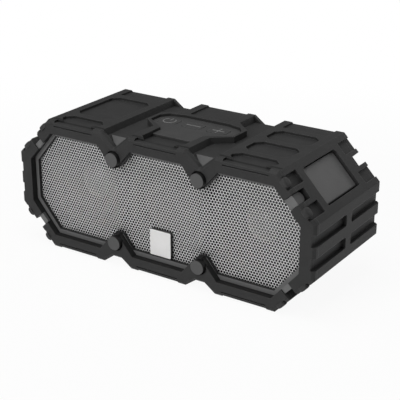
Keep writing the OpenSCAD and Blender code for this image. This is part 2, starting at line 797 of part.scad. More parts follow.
module driver_screws() {
  color(dark_steel) for (lobe = [-1:1]) driver_screws_at(lobe) {
    bar(0, 0, screw_head_r, flange_front - screw_head_t, flange_front);
    bar(0, 0, screw_r, flange_front, baffle_back);
  }
}

module basket(lobe) {
  color(dark_steel) difference() {
    turned(lobe * lobe_pitch) {
      polygon([[basket_lip_r, flange_front], [driver_flange_r, flange_front], [driver_flange_r, baffle_front],
        [driver_r - slip, baffle_front], [driver_r - slip, baffle_back], [motor_r, basket_back],
        [coil_r + coil_gap + 1, basket_back], [coil_r + coil_gap + 1, basket_back - basket_wall],
        [motor_r - basket_wall, basket_back - basket_wall], [basket_lip_r, baffle_front + 1]]);
    }
    // Six windows in the cone of the frame
    for (turn = [0:60:300]) translate([lobe * lobe_pitch, 0, mid_z]) rotate([0, turn, 0])
      translate([coil_r + coil_gap + 4, baffle_back + 0.8, -basket_window_w / 2])
        cube([driver_flange_r, basket_back - basket_wall - baffle_back - 1.6, basket_window_w]);
    driver_screws_at(lobe) bar(0, 0, screw_r + pin_play, flange_front - over, baffle_front + over);
  }
}

module motor(lobe) {
  y0 = basket_back;
  y1 = y0 + plate_t;
  y2 = y1 + magnet_t;
  gap_out = coil_r + coil_gap;
  gap_in = coil_r - coil_wall - coil_gap / 2;
  color(silver) turned(lobe * lobe_pitch)
    polygon([[0, y0], [gap_in, y0], [gap_in, y2], [gap_out + 2, y2], [gap_out + 2, y1], [gap_out, y1],
      [gap_out, y0], [motor_r, y0], [motor_r, y1], [motor_r + 1.5, y1], [motor_r + 1.5, y2], [motor_r, y2],
      [motor_r, y2 + plate_t], [0, y2 + plate_t]]);
}

// The cone's front face runs from the neck out to the edge, in radius and Y level
face_neck = [coil_r - coil_wall, cone_neck - cone_wall];
face_edge = [cone_r - cone_wall, cone_front - cone_wall / 2];

module cone(lobe) {
  color([0.2, 0.2, 0.2]) turned(lobe * lobe_pitch)
    polygon([[cone_r, cone_front], [coil_r, cone_neck], [coil_r, coil_back], [coil_r - coil_wall, coil_back],
      face_neck, face_edge, [cone_r, face_edge[1]]]);
}

// Domed cap over the coil, standing on the cone
module dust_cap(lobe) {
  rim_r = coil_r + cap_lap;
  share = (rim_r - face_neck[0]) / (face_edge[0] - face_neck[0]);
  rim_y = face_neck[1] + share * (face_edge[1] - face_neck[1]) - cap_gap;
  dome_r = rim_r + 3.2;
  rise = dome_r - sqrt(dome_r * dome_r - rim_r * rim_r);
  color([0.5, 0.5, 0.52]) translate([lobe * lobe_pitch, 0, mid_z]) difference() {
    intersection() {
      translate([0, rim_y - rise + dome_r, 0]) sphere(dome_r, $fn = 72);
      translate([-rim_r, rim_y - rise - 1, -rim_r]) cube([2 * rim_r, rise + 1, 2 * rim_r]);
    }
    translate([0, rim_y - rise + dome_r, 0]) sphere(dome_r - 0.5, $fn = 72);
  }
}

// Half roll that hangs a disc or cone of radius r in its frame
module surround(lobe, r, y) {
  inner_r = r + roll_inner_gap;
  outer_r = basket_lip_r - roll_inner_gap;
  roll_r = (outer_r - inner_r) / 2;
  color([0.05, 0.05, 0.05]) turned(lobe * lobe_pitch)
    translate([inner_r + roll_r, y]) difference() {
      circle(roll_r, $fn = 40);
      circle(roll_r - roll_wall, $fn = 40);
      translate([-2 * roll_r, 0]) square(4 * roll_r);
    }
}

module radiator_frame() {
  color(dark_steel) difference() {
    turned(0) polygon([[basket_lip_r, flange_front], [driver_flange_r, flange_front],
      [driver_flange_r, baffle_front], [driver_r - slip, baffle_front], [driver_r - slip, baffle_back],
      [basket_lip_r, baffle_back]]);
    driver_screws_at(0) bar(0, 0, screw_r + pin_play, flange_front - over, baffle_front + over);
  }
}

module radiator_disc() {
  color([0.2, 0.2, 0.2]) turned(0)
    polygon([[0, cone_front], [disc_r - disc_rim, cone_front], [disc_r, cone_front - disc_dish],
      [disc_r, cone_front + disc_t - disc_dish], [disc_r - disc_rim, cone_front + disc_t],
      [0, cone_front + disc_t]]);
}

module radiator_weight() {
  color(silver) bar(0, mid_z, weight_r, cone_front + disc_t, cone_front + disc_t + weight_t);
}

// Controls

// Place of button k: -1 power, 0 minus, 1 plus
module button_at(k) {
  translate([button_shift + k * button_pitch, button_y, 0]) children();
}

module control_pad() {
  color(rubber) difference() {
    translate([0, 0, pad_floor]) linear_extrude(pad_t) polygon(inset(tray, slip));
    for (k = [-1:1]) button_at(k) translate([0, 0, pad_floor - over]) linear_extrude(pad_t + 2 * over)
      rounded_rect(button_w + 2 * run_gap, button_l + 2 * run_gap, button_corner + run_gap);
  }
}

module button(k) {
  color(rubber) button_at(k) {
    translate([0, 0, lip_top]) linear_extrude(pad_top + button_proud - lip_top)
      rounded_rect(button_w, button_l, button_corner);
    translate([0, 0, lip_top - lip_t]) linear_extrude(lip_t)
      rounded_rect(button_w + 2 * button_lip, button_l + 2 * button_lip, button_corner + button_lip);
  }
}

module key_board() {
  color(board_green) translate([button_shift, button_y, key_well_floor]) linear_extrude(board_t)
    square([2 * key_window_half - 2 * slip, key_window_l - 2 * slip], center = true);
}

module key_switches() {
  color(silver) for (k = [-1:1]) button_at(k) translate([0, 0, key_board_top]) {
    linear_extrude(switch_h) square(switch_w, center = true);
    translate([0, 0, switch_h]) cylinder(r = 1.7, h = plunger_h);
  }
}

// Port cover on the right upper slope, its hinge and the sockets behind it

module port_cover() {
  color([0.12, 0.12, 0.122]) on_slope() difference() {
    union() {
      translate([0, 0, cover_top - cover_t]) linear_extrude(cover_t) intersection() {
        rounded_rect(cover_w, cover_l, cover_corner);
        translate([-cover_w, -cover_l]) square([cover_w + hinge_x, 2 * cover_l]);
      }
      translate([hinge_x, 0, hinge_z]) rotate([90, 0, 0]) cylinder(r = hinge_r, h = cover_l, center = true);
    }
    translate([hinge_x, 0, hinge_z]) rotate([90, 0, 0])
      cylinder(r = hinge_pin_r + pin_play, h = cover_l + over, center = true);
  }
}

module port_hinge_pin() {
  color(silver) on_slope() translate([hinge_x, 0, hinge_z]) rotate([90, 0, 0])
    cylinder(r = hinge_pin_r, h = cover_l + 2 * cover_gap + 2 * hinge_ear - 0.4, center = true);
}

module port_panel() {
  color(hard_plastic) on_slope() translate([port_shift, 0, 0]) difference() {
    translate([0, 0, -jacket_wall - slip]) linear_extrude(jacket_wall + slip + port_panel_top)
      square([port_w, port_l], center = true);
    translate([0, 0, -2 * jacket_wall]) linear_extrude(2 * jacket_wall) {
      translate([0, usb_y]) square([usb_w + 2 * slip, usb_l + 2 * slip], center = true);
      translate([0, charge_y]) square([charge_w + 2 * slip, charge_l + 2 * slip], center = true);
      translate([0, audio_y]) circle(audio_nose_r + slip);
    }
  }
}

module socket_posts_at() {
  for (sx = [-1, 1], sy = [-1, 1])
    translate([port_shift + sx * socket_post_x, sy * port_l / 4, 0]) children();
}

module socket_board() {
  color(board_green) on_slope() translate([port_shift, 0, socket_board_top - socket_board_t])
    linear_extrude(socket_board_t)
      square([2 * (socket_post_x + socket_post_r + 0.5), port_l - port_margin], center = true);
}

// Metal case of a socket with its tongue, from the board up to the panel
module socket_case(y, w, l, tongue_t) {
  on_slope() translate([port_shift, y, socket_board_top]) {
    difference() {
      linear_extrude(socket_h) square([w, l], center = true);
      translate([0, 0, socket_wall]) linear_extrude(socket_h)
        square([w - 2 * socket_wall, l - 2 * socket_wall], center = true);
    }
    linear_extrude(socket_h - 1) translate([tongue_t / 2, 0])
      square([tongue_t, l - 4 * socket_wall], center = true);
  }
}

module usb_socket() {
  color(silver) socket_case(usb_y, usb_w, usb_l, 1.6);
}

module charge_socket() {
  color(silver) socket_case(charge_y, charge_w, charge_l, 0.6);
}

module audio_socket() {
  color([0.05, 0.05, 0.05]) on_slope() translate([port_shift, audio_y, socket_board_top]) difference() {
    union() {
      linear_extrude(socket_h - audio_case_drop) square([audio_case_w, audio_case_l], center = true);
      cylinder(r = audio_nose_r, h = socket_h);
    }
    translate([0, 0, 1]) cylinder(r = audio_r, h = socket_h);
  }
}

// Electronics inside the shell

module board_posts_at() {
  for (sx = [-1, 1], sz = [-1, 1])
    translate([sx * (main_board_w / 2 - board_post_inset), 0,
      main_board_z + sz * (main_board_h / 2 - board_post_inset)]) children();
}

module main_board() {
  front = main_board_back - main_board_t;
  color(board_green) difference() {
    union() {
      translate([-main_board_w / 2, front, main_board_z - main_board_h / 2])
        cube([main_board_w, main_board_t, main_board_h]);
      for (chip = chips)
        translate([chip[0] - chip[2] / 2, front - chip_t, main_board_z + chip[1] - chip[2] / 2])
          cube([chip[2], chip_t + chip_sunk, chip[2]]);
    }
    board_posts_at() bar(0, 0, screw_r + pin_play, front - over, main_board_back + over);
  }
}

module board_screws() {
  front = main_board_back - main_board_t;
  color(dark_steel) board_posts_at() {
    bar(0, 0, screw_head_r, front - screw_head_t, front);
    bar(0, 0, screw_r, front, main_board_back + post_h - 0.5);
  }
}

module battery_cells() {
  color([0.16, 0.3, 0.55]) for (k = [0, 1])
    translate([-cell_l / 2, cell_y - k * (2 * cell_r + cell_gap), cell_z]) rotate([0, 90, 0])
      cylinder(r = cell_r, h = cell_l);
}

// Cradle under the cells, fixed to the rear wall
module battery_cradle() {
  depth = 4 * cell_r + cell_gap;
  front = cell_y + cell_r - depth;
  color(hard_plastic) difference() {
    translate([-cell_l / 2 + cradle_inset, front, cell_z - cell_r - cradle_t])
      cube([cell_l - 2 * cradle_inset, shell_inside_back - front, cell_r + cradle_t - cradle_open]);
    for (k = [0, 1])
      translate([-cell_l, cell_y - k * (2 * cell_r + cell_gap), cell_z]) rotate([0, 90, 0])
        cylinder(r = cell_r + slip, h = 2 * cell_l);
  }
}

jacket();
front_bezel();
grille_frame();
grille();
badge_plate();
bezel_pins();
rear_cover();
rear_screws();
inner_shell();
baffle();
baffle_gasket();
basket(-1);  // left_basket
motor(-1);  // left_motor
cone(-1);  // left_cone
dust_cap(-1);  // left_dust_cap
surround(-1, cone_r, cone_front);  // left_surround
basket(1);  // right_basket
motor(1);  // right_motor
cone(1);  // right_cone
dust_cap(1);  // right_dust_cap
surround(1, cone_r, cone_front);  // right_surround
radiator_frame();
radiator_disc();
radiator_weight();
surround(0, disc_r, cone_front);  // radiator_surround
driver_screws();
control_pad();
button(-1);  // power_button
button(0);  // minus_button
button(1);  // plus_button
key_board();
key_switches();
port_cover();
port_hinge_pin();
port_panel();
socket_board();
usb_socket();
charge_socket();
audio_socket();
main_board();
board_screws();
battery_cells();
battery_cradle();
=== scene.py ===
"""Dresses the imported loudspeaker: rubber, the fine grille, the marks on the buttons, studio and camera."""

import itertools
import math

import bpy
import numpy as np
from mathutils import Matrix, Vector


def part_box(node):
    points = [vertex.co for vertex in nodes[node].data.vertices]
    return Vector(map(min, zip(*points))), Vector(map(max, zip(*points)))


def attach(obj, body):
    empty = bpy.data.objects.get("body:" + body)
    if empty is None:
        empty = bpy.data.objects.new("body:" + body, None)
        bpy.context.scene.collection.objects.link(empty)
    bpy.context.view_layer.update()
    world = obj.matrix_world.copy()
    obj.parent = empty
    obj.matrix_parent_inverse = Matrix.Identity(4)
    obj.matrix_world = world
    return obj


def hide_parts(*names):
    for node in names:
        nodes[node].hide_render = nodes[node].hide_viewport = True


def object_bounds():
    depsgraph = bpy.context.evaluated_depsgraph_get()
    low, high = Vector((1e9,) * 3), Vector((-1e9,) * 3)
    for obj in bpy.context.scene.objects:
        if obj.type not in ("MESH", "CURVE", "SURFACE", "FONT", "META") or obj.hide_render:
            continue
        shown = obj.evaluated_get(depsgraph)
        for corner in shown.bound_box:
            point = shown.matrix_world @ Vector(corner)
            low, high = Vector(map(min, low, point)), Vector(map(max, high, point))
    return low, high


MM = 0.001

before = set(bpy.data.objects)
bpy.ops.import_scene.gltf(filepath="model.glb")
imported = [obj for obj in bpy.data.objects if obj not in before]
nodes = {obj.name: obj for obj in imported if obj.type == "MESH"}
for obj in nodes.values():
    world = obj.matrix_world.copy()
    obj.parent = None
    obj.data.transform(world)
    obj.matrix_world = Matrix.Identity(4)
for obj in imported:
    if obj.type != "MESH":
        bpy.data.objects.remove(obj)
cad_low, cad_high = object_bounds()

# Spacing of the three lobes and the level of their middles
LOBE_PITCH = 58 * MM
MID_Z = (cad_low.z + cad_high.z) / 2
# Upper right slope at the jacket's outline, from the middle of the box: middle, direction and outward side
SLOPE_MIDDLE = (88.9 * MM, 28.2 * MM)
SLOPE_ALONG = (0.6892, -0.7246)
SLOPE_OUT = (0.7246, 0.6892)
# Lugs in the notches of the slopes: half width, and depth from the slope in to the window
LUG_HALF, LUG_DEPTH = 3.1 * MM, 8.6 * MM
# Level where the jacket meets the bezel, and heights there: lowest pocket floor, strips on top of the bezel
SEAM_Y = cad_low.y + 6.2 * MM
POCKET_FLOOR_Z = 77.2 * MM
STRIP_LOW_Z, STRIP_HIGH_Z = 79.0 * MM, 80.1 * MM
# Facets at the front of the valleys: height of the foot, half width there, and spread of the sides
FACET_FOOT_Z, FACET_FOOT_HALF, FACET_SPREAD = 73 * MM, 3 * MM, 1.325


# Shader maths


class Socket:
    """A shader output that takes part in arithmetic; each operation adds a Math node."""

    def __init__(self, tree, output):
        self.tree = tree
        self.output = output

    def math(self, operation, *values):
        node = self.tree.nodes.new("ShaderNodeMath")
        node.operation = operation
        for entry, value in zip(node.inputs, values):
            plug(self.tree, entry, value)
        return Socket(self.tree, node.outputs[0])

    def __add__(self, other):
        return self.math("ADD", self, other)

    __radd__ = __add__

    def __sub__(self, other):
        return self.math("SUBTRACT", self, other)

    def __rsub__(self, other):
        return self.math("SUBTRACT", other, self)

    def __mul__(self, other):
        return self.math("MULTIPLY", self, other)

    __rmul__ = __mul__

    def __truediv__(self, other):
        return self.math("DIVIDE", self, other)

    def __rtruediv__(self, other):
        return self.math("DIVIDE", other, self)

    def size(self):
        return self.math("ABSOLUTE", self)

    def nearest_whole(self):
        return self.math("ROUND", self)

    def between(self, low, high):
        return self.math("MINIMUM", self.math("MAXIMUM", self, low), high)

    def clamp(self):
        return self.between(0.0, 1.0)


def plug(tree, entry, value):
    """Link a socket to an input, or write a number or colour on it."""
    if isinstance(value, Socket):
        tree.links.new(value.output, entry)
    else:
        entry.default_value = value


class Shading:
    """A node tree, with the one method that adds its nodes."""

    def __init__(self, tree):
        self.tree = tree
        tree.nodes.clear()

    def node(self, kind, settings=None, inputs=None, output=0):
        """Add a node: its settings first, then its sockets by name or number; returns one output."""
        made = self.tree.nodes.new(kind)
        for key, value in (settings or {}).items():
            setattr(made, key, value)
        for key, value in (inputs or {}).items():
            plug(self.tree, made.inputs[key], value)
        return Socket(self.tree, made.outputs[output]) if made.outputs else None

    def seen_by(self, *rays):
        """1 for the named kinds of rays, 0 for the light on other surfaces."""
        return sum(self.node("ShaderNodeLightPath", output=f"Is {ray} Ray") for ray in rays).clamp()


class Finish(Shading):
    """One material and its node tree."""

    def __init__(self, name):
        self.material = bpy.data.materials.new(name)
        self.material.use_nodes = True
        super().__init__(self.material.node_tree)
        self.place = self.node("ShaderNodeTexCoord", output="Object")

    def noise(self, size, detail=2.0, rough=0.5, stretch=None):
        """Noise from 0 to 1 with features of a size in millimetres."""
        place = self.place
        if stretch:
            place = self.node("ShaderNodeMapping", None, {"Vector": place, "Scale": stretch})
        inputs = {"Vector": place, "Scale": 1.0 / (size * MM), "Detail": detail, "Roughness": rough}
        return self.node("ShaderNodeTexNoise", None, inputs)

    def cells(self, size, feature="F1"):
        """Distance pattern of small cells with a size in millimetres."""
        inputs = {"Vector": self.place, "Scale": 1.0 / (size * MM)}
        return self.node("ShaderNodeTexVoronoi", {"feature": feature}, inputs, "Distance")

    def part(self, vector, axis):
        """One component of a vector, by its letter."""
        return self.node("ShaderNodeSeparateXYZ", None, {0: vector}, "XYZ".index(axis))

    def facing(self, axis):
        """Component of the surface's direction."""
        return self.part(self.node("ShaderNodeNewGeometry", output="Normal"), axis)

    def ramp(self, value, low, high):
        """0 below low, 1 above high, smooth between."""
        inputs = {"Value": value, "From Min": low, "From Max": high}
        return self.node("ShaderNodeMapRange", {"interpolation_type": "SMOOTHSTEP"}, inputs)

    def to_front(self, low, high):
        """0 to 1 as the surface turns to the front."""
        return self.ramp(-1 * self.facing("Y"), low, high)

    def to_top(self, low, high):
        """0 to 1 as the surface turns upwards."""
        return self.ramp(self.facing("Z"), low, high)

    def on_lugs(self):
        """Mask of the four slopes' lugs, from the slopes in to the edge of the window."""
        soft = 0.3 * MM
        x = self.part(self.place, "X").size() - SLOPE_MIDDLE[0]
        z = (self.part(self.place, "Z") - MID_Z).size() - SLOPE_MIDDLE[1]
        along = (x * SLOPE_ALONG[0] + z * SLOPE_ALONG[1]).size()
        inward = x * -SLOPE_OUT[0] - z * SLOPE_OUT[1]
        beside = self.ramp(along, LUG_HALF, LUG_HALF + soft)
        below = self.ramp(inward, LUG_DEPTH, LUG_DEPTH + soft)
        return (1 - beside) * (1 - below)

    def window_wall_shade(self):
        """Mask of faces that turn to the middle of their own lobe, for painted shade on the window walls."""
        x, z = self.part(self.place, "X"), self.part(self.place, "Z") - MID_Z
        lobe = (x / LOBE_PITCH).nearest_whole().between(-1, 1)
        turned = (lobe * LOBE_PITCH - x) * self.facing("X") - z * self.facing("Z")
        return self.ramp(turned, 6 * MM, 14 * MM)

    def front_seam_shade(self):
        """Mask of the painted shade line on top of the lobes where the jacket meets the bezel."""
        level = self.ramp(self.part(self.place, "Z"), POCKET_FLOOR_Z, POCKET_FLOOR_Z + 0.4 * MM)
        behind = self.ramp(self.part(self.place, "Y"), SEAM_Y + 1.5 * MM, SEAM_Y + 2.3 * MM)
        return self.to_top(0.85, 0.95) * level * (1 - behind)

    def strip_back_shade(self):
        """Mask of the painted shade line at the back of the bezel's top strips, where the jacket begins."""
        z = self.part(self.place, "Z")
        above = self.ramp(z, STRIP_HIGH_Z, STRIP_HIGH_Z + 0.4 * MM)
        strip = self.ramp(z, STRIP_LOW_Z, STRIP_LOW_Z + 0.3 * MM) * (1 - above)
        back = self.ramp(self.part(self.place, "Y"), SEAM_Y - 1.1 * MM, SEAM_Y - 0.6 * MM)
        return self.to_top(0.6, 0.8) * strip * back

    def facet_rim(self):
        """Distance from the slanting sides of the facets at the front of the valleys, for the painted shade
        along them.
        """
        across = (self.part(self.place, "X").size() - LOBE_PITCH / 2).size()
        rise = self.part(self.place, "Z") - FACET_FOOT_Z
        return FACET_FOOT_HALF + rise * FACET_SPREAD - across

    def open_air(self, reach, low, high):
        """Ambient occlusion as a mask for painted shade: 1 on open surfaces, 0 in corners and grooves up to a
        reach in millimetres.
        """
        free = self.node("ShaderNodeAmbientOcclusion", {"samples": 8}, {"Distance": reach * MM}, "AO")
        return self.ramp(free, low, high)

    def mix(self, share, a, b):
        """Colour a where share is 0, b where it is 1."""
        return self.node("ShaderNodeMix", {"data_type": "RGBA"}, {0: share, 6: a, 7: b}, 2)

    def bump(self, height, depth, strength=1.0, under=None):
        """Normal of a relief whose full height is depth millimetres."""
        inputs = {"Height": height, "Distance": depth * MM, "Strength": strength}
        if under:
            inputs["Normal"] = under
        return self.node("ShaderNodeBump", None, inputs)

    def rounded(self, radius):
        """Normal with the edges rounded by a radius in millimetres, and a mask of those edges."""
        soft = self.node("ShaderNodeBevel", {"samples": 8}, {"Radius": radius * MM})
        flat = self.node("ShaderNodeNewGeometry", output="Normal")
        along = self.node("ShaderNodeVectorMath", {"operation": "DOT_PRODUCT"}, {0: soft, 1: flat}, "Value")
        return soft, self.ramp(1 - along, 0.02, 0.24)

    def close(self, **sockets):
        """Principled surface; names are the shader's own with _ for a space."""
        inputs = {key.replace("_", " "): value for key, value in sockets.items()}
        shader = self.node("ShaderNodeBsdfPrincipled", None, inputs)
        self.node("ShaderNodeOutputMaterial", None, {"Surface": shader})
        return self.material


def grey(level, warm=0.0):
    return (level * (1 + warm), level, level * (1 - warm), 1.0)


# Finishes

# Near-black tones of painted shade: the line behind the bezel, the facets' slanting sides, and grooves and
# corners
SEAM_SHADE, FACET_SIDE_SHADE, GROOVE_SHADE = grey(0.006), grey(0.008), grey(0.002)


def moulded_rubber(name, dark, light, grain=0.35, edge_r=0.6, facet=None, walls=None):
    """Matt rubber: fine moulded grain, slow mottling, pale dust on what faces up, scuffs, and edges paler for
    wear and for a painted highlight.

    Grooves and corners get painted shade. With a facet tone, the facets that lean to the front and up are
    painted paler as lit faces, with painted shade along their slanting sides, and a painted shade line runs
    behind the bezel. With a walls tone, painted shade darkens the walls of the windows and the backs of the
    top strips.
    """
    f = Finish(name)
    soft, edge = f.rounded(edge_r)
    mottle = f.noise(22, detail=4, rough=0.6)
    blotch = f.noise(5, detail=3, rough=0.55)
    scratches = f.ramp(f.noise(1.6, detail=5, rough=0.7, stretch=(1.0, 3.0, 1.0)), 0.62, 0.74)
    scuff = scratches * f.ramp(f.noise(30), 0.5, 0.62)
    dust = f.to_top(0.3, 1.0) * f.ramp(f.noise(9, detail=5, rough=0.65), 0.45, 0.8)
    # Edges paler for wear and also as a painted highlight on the rounded edges
    wear = edge * f.ramp(f.noise(3.5, detail=4, rough=0.6), 0.1, 0.5)
    share = (mottle * 0.5 + blotch * 0.4 - 0.2 + scuff * 0.3 + dust * 0.25).clamp()
    worn_and_highlit = tuple(2.1 * v for v in light[:3]) + (1.0,)
    colour = f.mix(wear * 0.6, f.mix(share, dark, light), worn_and_highlit)
    if facet:
        # Painted light: facets that lean to the front and up get a paler tone, as faces that catch the lamps
        lit_facets = f.to_front(0.45, 0.55) * f.to_top(0.6, 0.7)
        # Painted shade along the facets' slanting sides
        tone = f.mix(f.ramp(f.facet_rim(), 0.7 * MM, 1.5 * MM), FACET_SIDE_SHADE, facet)
        colour = f.mix(lit_facets * (0.75 + 0.25 * blotch), colour, tone)
        # Painted shade line on the jacket just behind the bezel
        colour = f.mix(f.front_seam_shade() * 0.75, colour, SEAM_SHADE)
    if walls:
        # Painted shade on the window walls
        colour = f.mix(f.window_wall_shade() * 0.85, colour, walls)
        # Painted shade line at the back of the bezel's top strips
        colour = f.mix(f.strip_back_shade() * 0.8, colour, SEAM_SHADE)
    # Painted shade in grooves and corners, from ambient occlusion
    colour = f.mix(f.open_air(3, 0.25, 0.85) * 0.55 + 0.45, GROOVE_SHADE, colour)
    pores = f.cells(grain)
    grit = f.noise(grain * 0.5, detail=3, rough=0.6)
    skin = f.bump(pores * 0.6 + grit * 0.4, depth=0.06, strength=0.55, under=soft)
    normal = f.bump(blotch, depth=0.12, strength=0.35, under=skin)
    rough = 0.5 + 0.16 * grit + 0.1 * dust - 0.08 * scuff - 0.06 * wear
    return f.close(Base_Color=colour, Roughness=rough, Normal=normal, IOR=1.5, Specular_IOR_Level=0.2)


def moulded_plastic(name, dark, light, grain=0.5, gloss=0.42, edge_r=0.35, sides=None, shine=0.4):
    """Hard plastic with a spark-eroded grain, faint rub marks, and edges paler for rubbing and for a painted
    highlight.

    Faces that don't look to the front may have a darker tone of painted shade, except on the lugs of the
    slopes.
    """
    f = Finish(name)
    soft, edge = f.rounded(edge_r)
    mottle = f.noise(14, detail=3, rough=0.55)
    streaks = f.ramp(f.noise(1.2, detail=4, rough=0.7, stretch=(4.0, 1.0, 1.0)), 0.6, 0.72)
    rub = streaks * f.ramp(f.noise(18), 0.48, 0.6)
    grit = f.noise(grain, rough=0.55)
    # Edges paler for rubbing and also as a painted highlight on the rounded edges
    colour = f.mix((mottle * 0.7 + rub * 0.4 + edge * 0.3 - 0.1).clamp(), dark, light)
    # Painted shade: faces that don't look to the front take the dark sides tone, less on the lugs
    if sides:
        lugs = f.on_lugs() * (0.9 - 0.45 * f.to_top(0.3, 0.6))
        colour = f.mix((f.to_front(0.35, 0.8) + lugs).clamp(), sides, colour)
    normal = f.bump(grit, depth=0.05, strength=0.5, under=soft)
    rough = gloss + 0.14 * grit - 0.08 * rub
    return f.close(Base_Color=colour, Roughness=rough, Normal=normal, Specular_IOR_Level=shine)


def painted_sheet(name):
    """Silver-grey paint on perforated sheet: flake sparkle and slow unevenness, with painted shade near the
    frame and in corners.
    """
    f = Finish(name)
    flake = f.cells(0.12)
    drift = f.noise(16, detail=3)
    paint = f.mix((drift * 0.6 + flake * 0.6 - 0.1).clamp(), grey(0.70), grey(0.87))
    # Painted shade on the sheet near the frame and in corners, from ambient occlusion
    colour = f.mix(f.open_air(4, 0.3, 0.8) * 0.75 + 0.25, grey(0.01), paint)
    normal = f.bump(f.noise(0.3), depth=0.03, strength=0.4)
    return f.close(Base_Color=colour, Roughness=0.38 + 0.18 * flake, Metallic=0.1, Normal=normal)


def shaded_punched_edge(name):
    """Walls of the punched holes painted near-black as shade, with the drag lines of the punch."""
    f = Finish(name)
    drag = f.noise(0.2, detail=3, rough=0.6, stretch=(6.0, 0.6, 6.0))
    colour = f.mix(drag, grey(0.008), grey(0.03))
    normal = f.bump(drag, depth=0.02, strength=0.4)
    return f.close(Base_Color=colour, Roughness=0.45 + 0.25 * drag, Normal=normal, Specular_IOR_Level=0.1)


def white_plate(name):
    """Satin white enamel of the bare plate, with its sides darkened as painted shade."""
    f = Finish(name)
    drift = f.noise(6, detail=3)
    enamel = f.mix(drift, grey(0.80, 0.01), grey(0.90, 0.005))
    # Painted shade: the sides that don't look to the front are near-black
    colour = f.mix(f.to_front(0.35, 0.8), f.mix(drift, grey(0.02), grey(0.05)), enamel)
    normal = f.bump(f.noise(1.2, detail=3), depth=0.02, strength=0.4)
    return f.close(Base_Color=colour, Roughness=0.32 + 0.12 * f.noise(2, detail=3), Normal=normal)


def bare_metal(name, level, rough):
    """Turned or rolled metal with fine lines."""
    f = Finish(name)
    line = f.noise(0.8, detail=3, rough=0.6, stretch=(1.0, 14.0, 14.0))
    stain = f.noise(7, detail=3, rough=0.6)
    colour = f.mix((stain * 0.7 + line * 0.3).clamp(), grey(level * 0.78), grey(level * 1.12))
    normal = f.bump(line, depth=0.02, strength=0.4)
    return f.close(Base_Color=colour, Metallic=0.9, Roughness=rough + 0.16 * line, Normal=normal)


def pulp_cone(name):
    """Dark coated paper of the cones, with fibres."""
    f = Finish(name)
    fibre = f.noise(0.5, detail=4, rough=0.7, stretch=(1.0, 5.0, 2.0))
    colour = f.mix(fibre, grey(0.025), grey(0.05))
    normal = f.bump(fibre, depth=0.06, strength=0.6)
    return f.close(Base_Color=colour, Roughness=0.7 + 0.2 * fibre, Normal=normal)


def satin_cap(name):
    """Grey satin dome of the dust caps."""
    f = Finish(name)
    drift = f.noise(4, detail=3)
    colour = f.mix(drift, grey(0.09), grey(0.14))
    normal = f.bump(f.noise(0.6), depth=0.02, strength=0.4)
    return f.close(Base_Color=colour, Roughness=0.24 + 0.15 * drift, Metallic=0.2, Normal=normal)


def circuit_board(name):
    """Solder mask with traces and pads."""
    f = Finish(name)
    trace = f.ramp(f.cells(2.4, "DISTANCE_TO_EDGE"), 0.05, 0.09)
    colour = f.mix(trace, (0.06, 0.30, 0.15, 1.0), (0.02, 0.13, 0.06, 1.0))
    normal = f.bump(trace, depth=0.03, strength=0.5)
    return f.close(Base_Color=colour, Roughness=0.3 + 0.2 * f.noise(1.5, detail=3), Normal=normal)


def shrink_film(name):
    """Wrap of the battery cells, with slight creases."""
    f = Finish(name)
    crease = f.noise(3, detail=4, rough=0.6, stretch=(0.3, 1.0, 1.0))
    colour = f.mix(crease, (0.04, 0.12, 0.28, 1.0), (0.08, 0.22, 0.46, 1.0))
    normal = f.bump(crease, depth=0.08, strength=0.4)
    return f.close(Base_Color=colour, Roughness=0.26 + 0.14 * crease, Normal=normal)


def marking_paint(name):
    """Pale grey of the raised marks on the buttons."""
    f = Finish(name)
    wear = f.ramp(f.noise(0.7, detail=4, rough=0.65), 0.4, 0.7)
    colour = f.mix(wear, grey(0.15), grey(0.22))
    normal = f.bump(f.noise(0.3), depth=0.03, strength=0.4)
    return f.close(Base_Color=colour, Roughness=0.45 + 0.2 * wear, Normal=normal)


FINISHES = {
    # The jacket's facet tone is painted light on the facets
    "jacket_rubber": moulded_rubber("jacket_rubber", grey(0.029), grey(0.052), facet=grey(0.112)),
    # The bezel's walls tone is painted shade on its window walls
    "bezel_rubber": moulded_rubber("bezel_rubber", grey(0.028), grey(0.050), grain=0.3, walls=grey(0.009)),
    "tongue_rubber": moulded_rubber("tongue_rubber", grey(0.036), grey(0.058), grain=0.3, edge_r=0.3),
    "pad_rubber": moulded_rubber("pad_rubber", grey(0.050), grey(0.080), grain=0.25),
    "roll_rubber": moulded_rubber("roll_rubber", grey(0.016), grey(0.032), grain=0.2),
    # The sides tones of the knob and frame plastics are painted shade on faces that don't look to the front
    "knob_plastic": moulded_plastic("knob_plastic", grey(0.068), grey(0.100), grain=0.4, sides=grey(0.012)),
    "cover_plastic": moulded_plastic("cover_plastic", grey(0.092), grey(0.142), grain=0.3, gloss=0.46),
    "frame_plastic": moulded_plastic("frame_plastic", grey(0.128), grey(0.184), grain=0.4, sides=grey(0.014)),
    "shell_plastic": moulded_plastic("shell_plastic", grey(0.110), grey(0.160), grain=0.4),
    "inner_black": moulded_plastic(
        "inner_black", grey(0.008), grey(0.016), grain=0.6, gloss=0.55, shine=0.12),
    "hole_wall_shade": shaded_punched_edge("hole_wall_shade"),
    "grille_paint": painted_sheet("grille_paint"),
    "plate_white": white_plate("plate_white"),
    "screw_steel": bare_metal("screw_steel", 0.36, rough=0.36),
    "screw_black": bare_metal("screw_black", 0.04, rough=0.42),
    "basket_steel": bare_metal("basket_steel", 0.06, rough=0.4),
    "plated_steel": bare_metal("plated_steel", 0.6, rough=0.28),
    "cone_pulp": pulp_cone("cone_pulp"),
    "cap_satin": satin_cap("cap_satin"),
    "board_green": circuit_board("board_green"),
    "cell_film": shrink_film("cell_film"),
    "mark_paint": marking_paint("mark_paint"),
}

